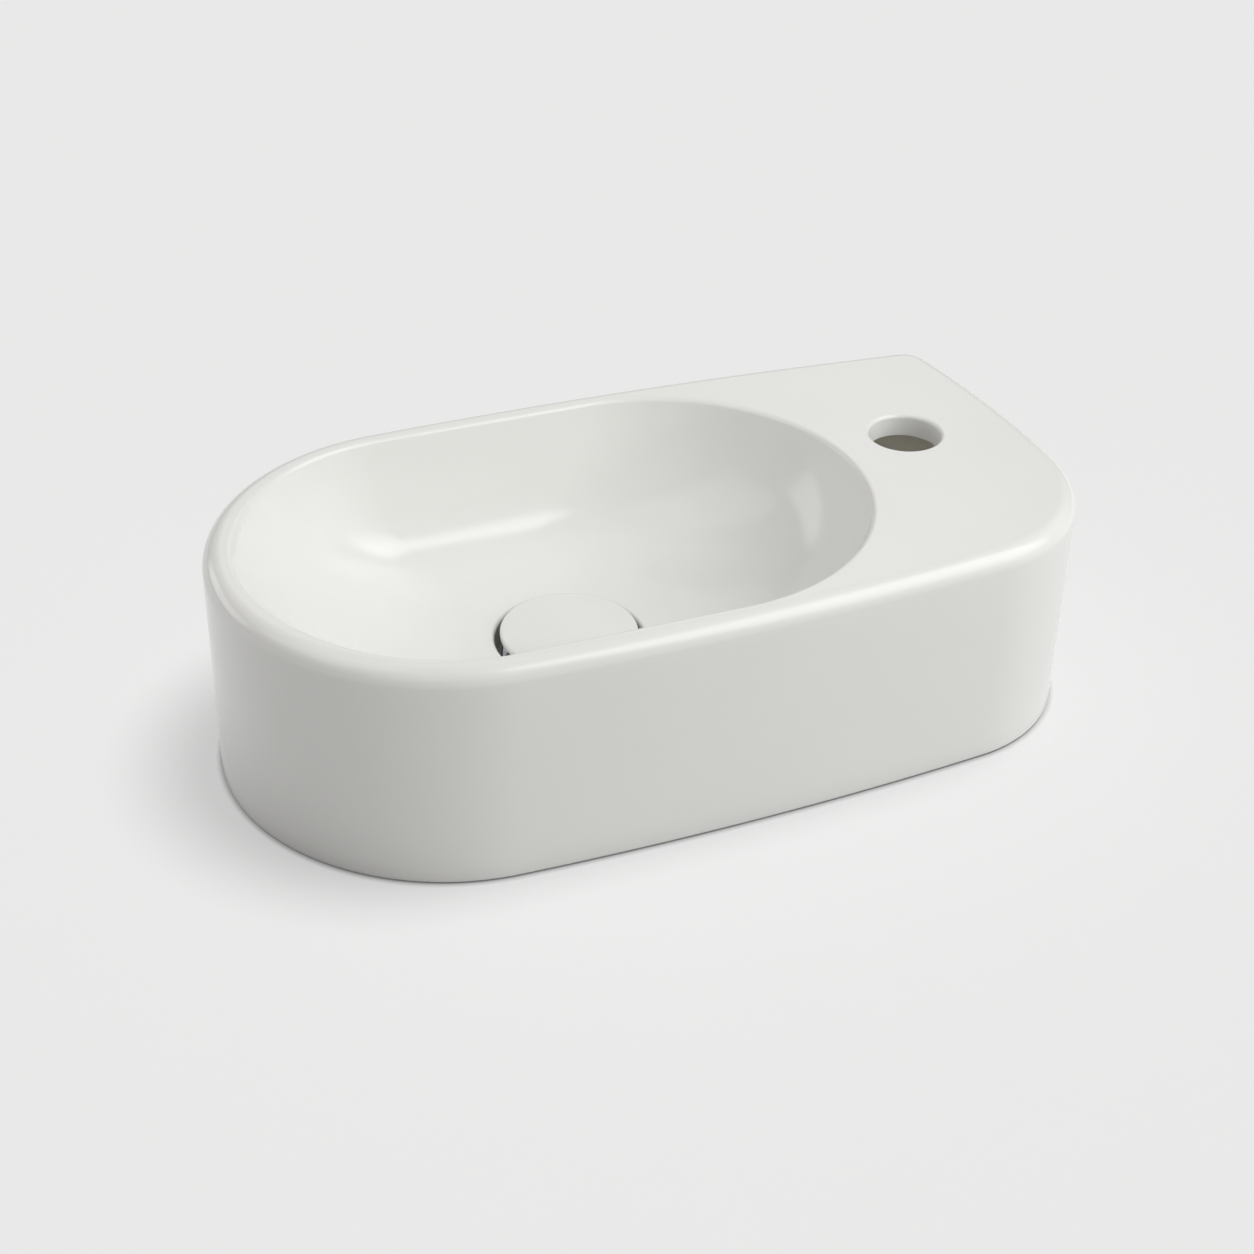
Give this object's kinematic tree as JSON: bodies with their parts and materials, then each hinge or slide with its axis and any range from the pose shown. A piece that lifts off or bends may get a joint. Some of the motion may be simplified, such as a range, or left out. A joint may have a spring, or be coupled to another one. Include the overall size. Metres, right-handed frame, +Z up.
{
  "type": "hand basin",
  "caption": "Compact countertop hand basin with a scooped bowl, a flat deck with a tap hole, and a push-open waste under a domed cap.",
  "frame": {"origin": "middle of the basin's bounding box, on the plane of its foot", "axes": "+X along the basin towards the tap deck, +Y to the back, +Z up"},
  "size_m": [0.4076, 0.2196, 0.112],
  "materials": {
    "vitreous_china": "gloss",
    "cap_china": "gloss",
    "waste_chrome": "polished",
    "nut_brass": "satin",
    "plunger_brass": "satin",
    "seal_rubber": "matte",
    "washer_plastic": "matte",
    "cartridge_plastic": "satin",
    "rotor_plastic": "satin",
    "spring_steel": "satin"
  },
  "bodies": {
    "basin": {"basin_body": "vitreous_china", "waste_body": "waste_chrome", "flange_gasket": "seal_rubber", "underside_seal": "seal_rubber", "slip_washer": "washer_plastic", "back_nut": "nut_brass", "cartridge_sleeve": "cartridge_plastic", "cartridge_plug": "cartridge_plastic", "return_spring": "spring_steel"},
    "cap": {"waste_cap": "cap_china", "cap_carrier": "waste_chrome", "cap_seal_ring": "seal_rubber", "plunger": "plunger_brass", "plunger_o_ring": "seal_rubber"},
    "rotor": {"ratchet_rotor": "rotor_plastic"}
  },
  "joints": [
    {"name": "cap_press", "type": "slide", "parent": "basin", "child": "cap", "axis": [0, 0, 1], "range_m": [-0.006, 0], "stiffness_N_per_m": 1500, "springref_m": 0.01, "deforming": ["return_spring"]},
    {"name": "rotor_turn", "type": "hinge", "parent": "cap", "child": "rotor", "pos_m": [-0.0355, 0, 0.0239], "axis": [0, 0, 1], "range_deg": [0, 45]}
  ],
  "couplings": [
    {"joint": "rotor_turn", "follows": "cap_press", "rad_per_m": -130.8}
  ]
}
